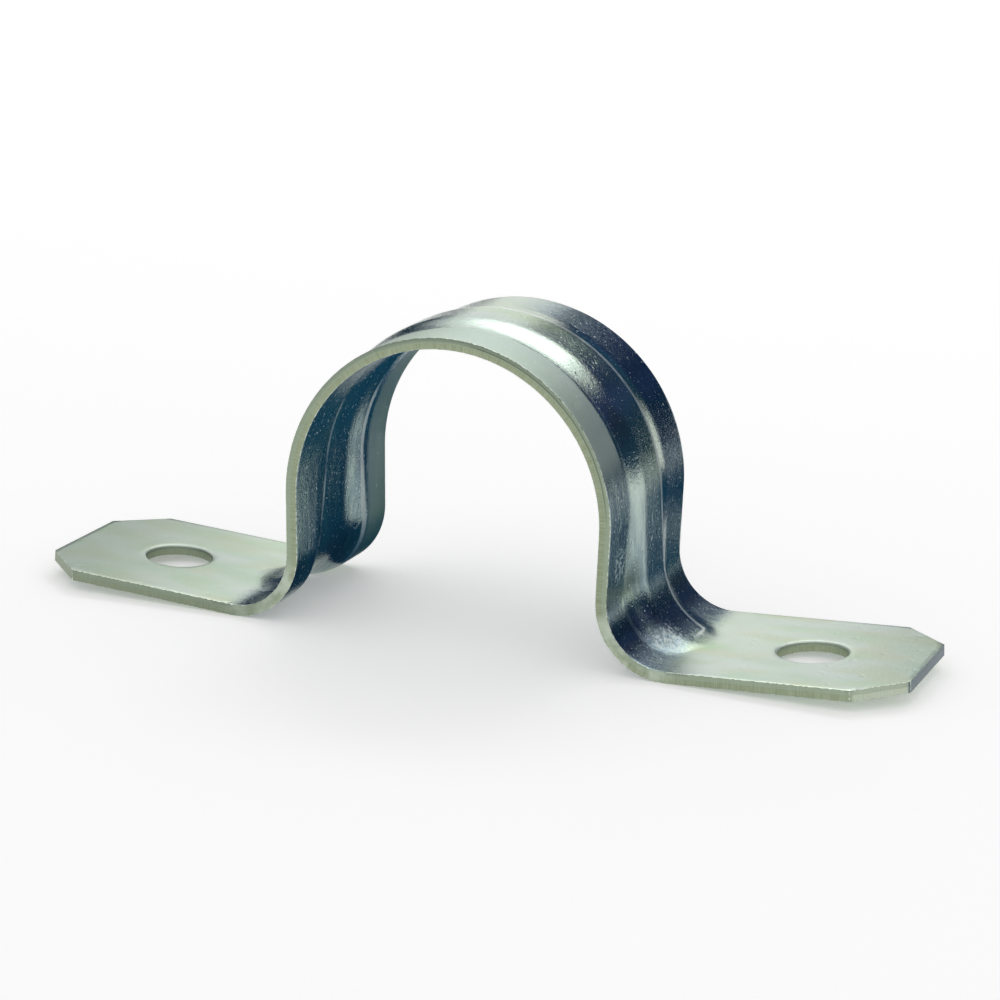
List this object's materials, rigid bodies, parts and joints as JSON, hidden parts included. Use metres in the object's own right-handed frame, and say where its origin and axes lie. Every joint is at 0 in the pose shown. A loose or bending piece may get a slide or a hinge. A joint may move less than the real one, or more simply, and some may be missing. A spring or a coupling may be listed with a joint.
{
  "type": "conduit strap",
  "caption": "Two-hole strap pressed from zinc-plated steel strip: a ribbed half-round arch on short legs with flat screw feet, for fixing a conduit to a wall.",
  "frame": {"origin": "midway between the feet, level with the lowest line of the two bends", "axes": "+X from the left foot to the right foot, +Y along the conduit, +Z away from the wall"},
  "size_m": [0.0968, 0.0222, 0.0333],
  "materials": {
    "zinc_plate": "bright zinc plate, faintly iridescent, over rolled steel strip"
  },
  "bodies": {
    "root": {"strap": "zinc_plate"}
  },
  "joints": []
}
